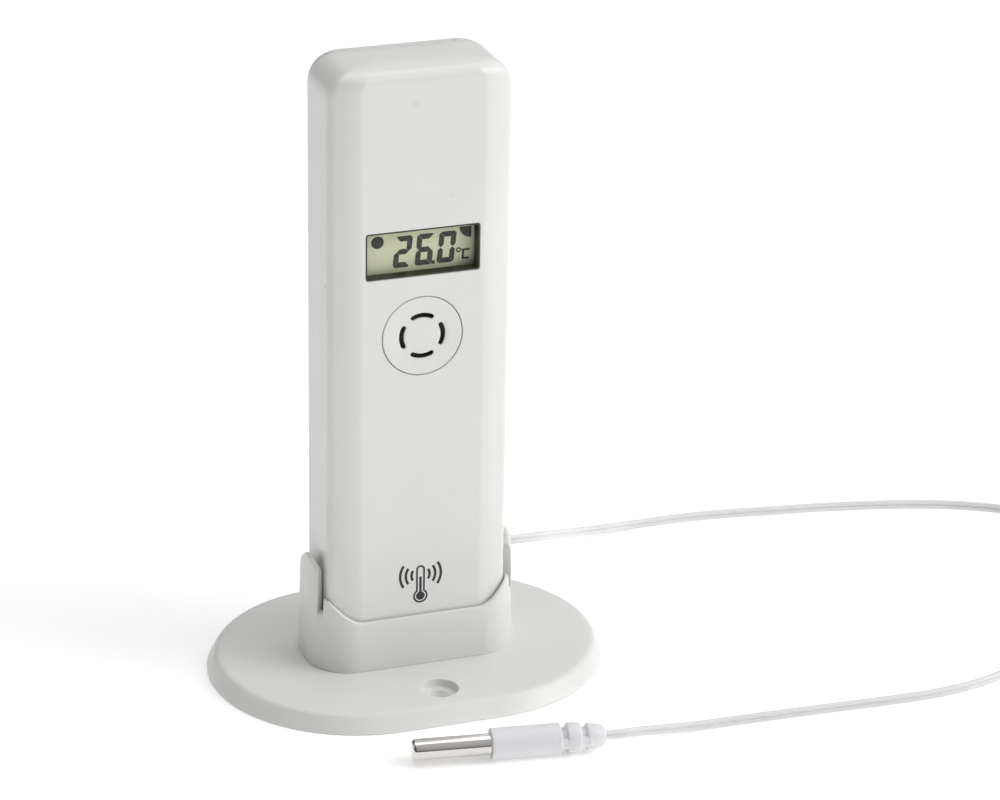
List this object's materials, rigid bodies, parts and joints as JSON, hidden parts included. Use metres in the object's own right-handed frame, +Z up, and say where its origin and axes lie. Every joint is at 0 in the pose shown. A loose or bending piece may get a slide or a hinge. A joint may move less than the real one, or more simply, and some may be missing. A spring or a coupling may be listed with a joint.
{
  "type": "wireless temperature transmitter",
  "caption": "Slim upright wireless temperature transmitter with a small display and a round vent, lifting out of an oval table holder, with a steel cable probe on a thin twin lead.",
  "frame": {"origin": "middle of the holder's underside, on the surface it stands on", "axes": "+Z up along the case's length, -Y towards the front with the display, +X to the right seen from the front, where the lead leaves"},
  "size_m": [0.2114, 0.0967, 0.131],
  "materials": {
    "white_case": "moulded, fine satin",
    "holder_plastic": "moulded, satin",
    "steel": "polished",
    "zinc_screw": "zinc plated",
    "seal_rubber": "matt",
    "dark_frame": "matt",
    "clear_window": "clear",
    "display_cell": "satin polariser",
    "connector_rubber": "matt",
    "membrane": "porous",
    "board_green": "solder mask",
    "chip_black": "matt",
    "shield_tin": "tin plated",
    "aerial_wire": "drawn wire",
    "cell_jacket": "gloss sleeve",
    "contact_nickel": "nickel plated",
    "key_grey": "matt",
    "plug_ivory": "matt",
    "lead_pvc": "soft PVC",
    "tie_black": "matt",
    "boot_pvc": "soft PVC"
  },
  "bodies": {
    "stand": {"base_plate": "holder_plastic", "holder_cup": "holder_plastic", "cup_screws": "zinc_screw", "lead_to_case": "lead_pvc", "lead_coil": "lead_pvc", "lead_tie": "tie_black", "lead_to_probe": "lead_pvc", "probe_boot": "boot_pvc", "probe_tip": "steel", "probe_thermistor": "chip_black"},
    "transmitter": {"front_cover": "white_case", "rear_cover": "white_case", "seam_gasket": "seal_rubber", "housing_screws": "zinc_screw", "display_frame": "dark_frame", "display_window": "clear_window", "display_glass": "display_cell", "display_connector": "connector_rubber", "vent_disc": "white_case", "vent_membrane": "membrane", "climate_sensor": "chip_black", "circuit_board": "board_green", "board_screws": "zinc_screw", "controller_chip": "chip_black", "radio_module": "shield_tin", "antenna": "aerial_wire", "crystal_can": "shield_tin", "key_switch": "chip_black", "slide_switch": "shield_tin", "lead_plug": "plug_ivory", "inner_lead": "lead_pvc", "cell_left": "cell_jacket", "cell_right": "cell_jacket", "contact_springs": "contact_nickel", "contact_plates": "contact_nickel", "lead_grommet": "key_grey"},
    "battery_door": {"battery_door": "white_case", "door_seal": "seal_rubber"},
    "send_key": {"send_key": "key_grey"},
    "unit_slider": {"unit_slider": "chip_black"}
  },
  "joints": [
    {"name": "lift_out", "type": "slide", "parent": "stand", "child": "transmitter", "axis": [0, 0, 1], "range_m": [0, 0.03]},
    {"name": "door_hinge", "type": "hinge", "parent": "transmitter", "child": "battery_door", "pos_m": [0, 0.0088, 0.017], "axis": [-1, 0, 0], "range_deg": [0, 70]},
    {"name": "key_press", "type": "slide", "parent": "transmitter", "child": "send_key", "axis": [0, -1, 0], "range_m": [0, 0.0006], "stiffness_N_per_m": 400, "springref_m": -0.0008},
    {"name": "unit_slide", "type": "slide", "parent": "transmitter", "child": "unit_slider", "axis": [1, 0, 0], "range_m": [0, 0.0024]}
  ]
}
